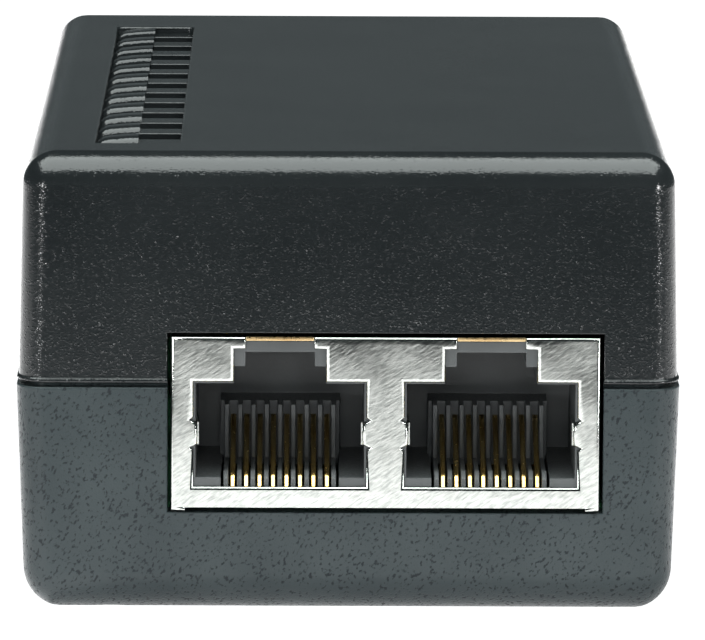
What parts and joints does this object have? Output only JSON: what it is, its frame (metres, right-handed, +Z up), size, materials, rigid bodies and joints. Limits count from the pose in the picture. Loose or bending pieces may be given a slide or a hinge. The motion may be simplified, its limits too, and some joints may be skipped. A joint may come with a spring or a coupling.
{
  "type": "power over ethernet injector",
  "caption": "Oblong plastic case with shielded network sockets in front, a mains inlet behind and a column of cooling slots on top; adds supply power to a network cable.",
  "frame": {"origin": "under the middle of the case, in the plane that the rubber feet stand on", "axes": "+Z up, -Y out of the network ports, +Y out of the mains inlet, +X to the right for a person facing the ports"},
  "size_m": [0.05, 0.086, 0.0358],
  "materials": {
    "cover_plastic": "fine satin texture",
    "shell_plastic": "fine spark-eroded texture",
    "screw_steel": "zinc plated",
    "foot_rubber": "matt",
    "label_film": "blank printed film",
    "shield_metal": "tin plated, brushed",
    "jack_plastic": "moulded",
    "contact_gold": "gold plated",
    "inlet_plastic": "moulded",
    "pin_metal": "nickel plated",
    "board_laminate": "solder resist",
    "insulation_film": "polyester film",
    "fuse_body": "moulded",
    "blue_epoxy": "dipped",
    "capacitor_box": "moulded",
    "ferrite_coated": "epoxy coated",
    "copper_wire": "enamelled",
    "black_epoxy": "moulded",
    "capacitor_sleeve": "shrink sleeve",
    "sink_aluminium": "mill finish",
    "ferrite": "ground",
    "bobbin_plastic": "moulded",
    "winding_tape": "polyester tape"
  },
  "bodies": {
    "case": {"top_cover": "cover_plastic", "bottom_shell": "shell_plastic", "cover_screws": "screw_steel", "rubber_feet": "foot_rubber", "rating_label": "label_film", "jack_shield": "shield_metal", "jack_housing": "jack_plastic", "port_1_tails": "contact_gold", "port_2_tails": "contact_gold", "inlet_housing": "inlet_plastic", "inlet_live_pin": "pin_metal", "inlet_neutral_pin": "pin_metal", "inlet_earth_pin": "pin_metal", "main_board": "board_laminate", "insulation_sheet": "insulation_film", "fuse": "fuse_body", "varistor": "blue_epoxy", "x_capacitor": "capacitor_box", "choke_core": "ferrite_coated", "choke_windings": "copper_wire", "bridge_rectifier": "black_epoxy", "bulk_capacitor": "capacitor_sleeve", "primary_heatsink": "sink_aluminium", "switching_transistor": "black_epoxy", "transformer_core": "ferrite", "transformer_bobbin": "bobbin_plastic", "transformer_winding": "winding_tape", "secondary_heatsink": "sink_aluminium", "output_diode": "black_epoxy", "output_capacitors": "capacitor_sleeve", "lan_magnetics": "black_epoxy", "optocoupler": "black_epoxy", "y_capacitor": "blue_epoxy", "controller_chip": "black_epoxy"},
    "port_1_contacts": {"port_1_springs": "contact_gold"},
    "port_2_contacts": {"port_2_springs": "contact_gold"}
  },
  "joints": [
    {"name": "port_1_contact_flex", "type": "hinge", "parent": "case", "child": "port_1_contacts", "pos_m": [-0.00514, -0.0413, 0.01115], "axis": [-1, 0, 0], "range_deg": [0, 9], "stiffness_Nm_per_rad": 0.5},
    {"name": "port_2_contact_flex", "type": "hinge", "parent": "case", "child": "port_2_contacts", "pos_m": [0.01074, -0.0413, 0.01115], "axis": [-1, 0, 0], "range_deg": [0, 9], "stiffness_Nm_per_rad": 0.5}
  ]
}
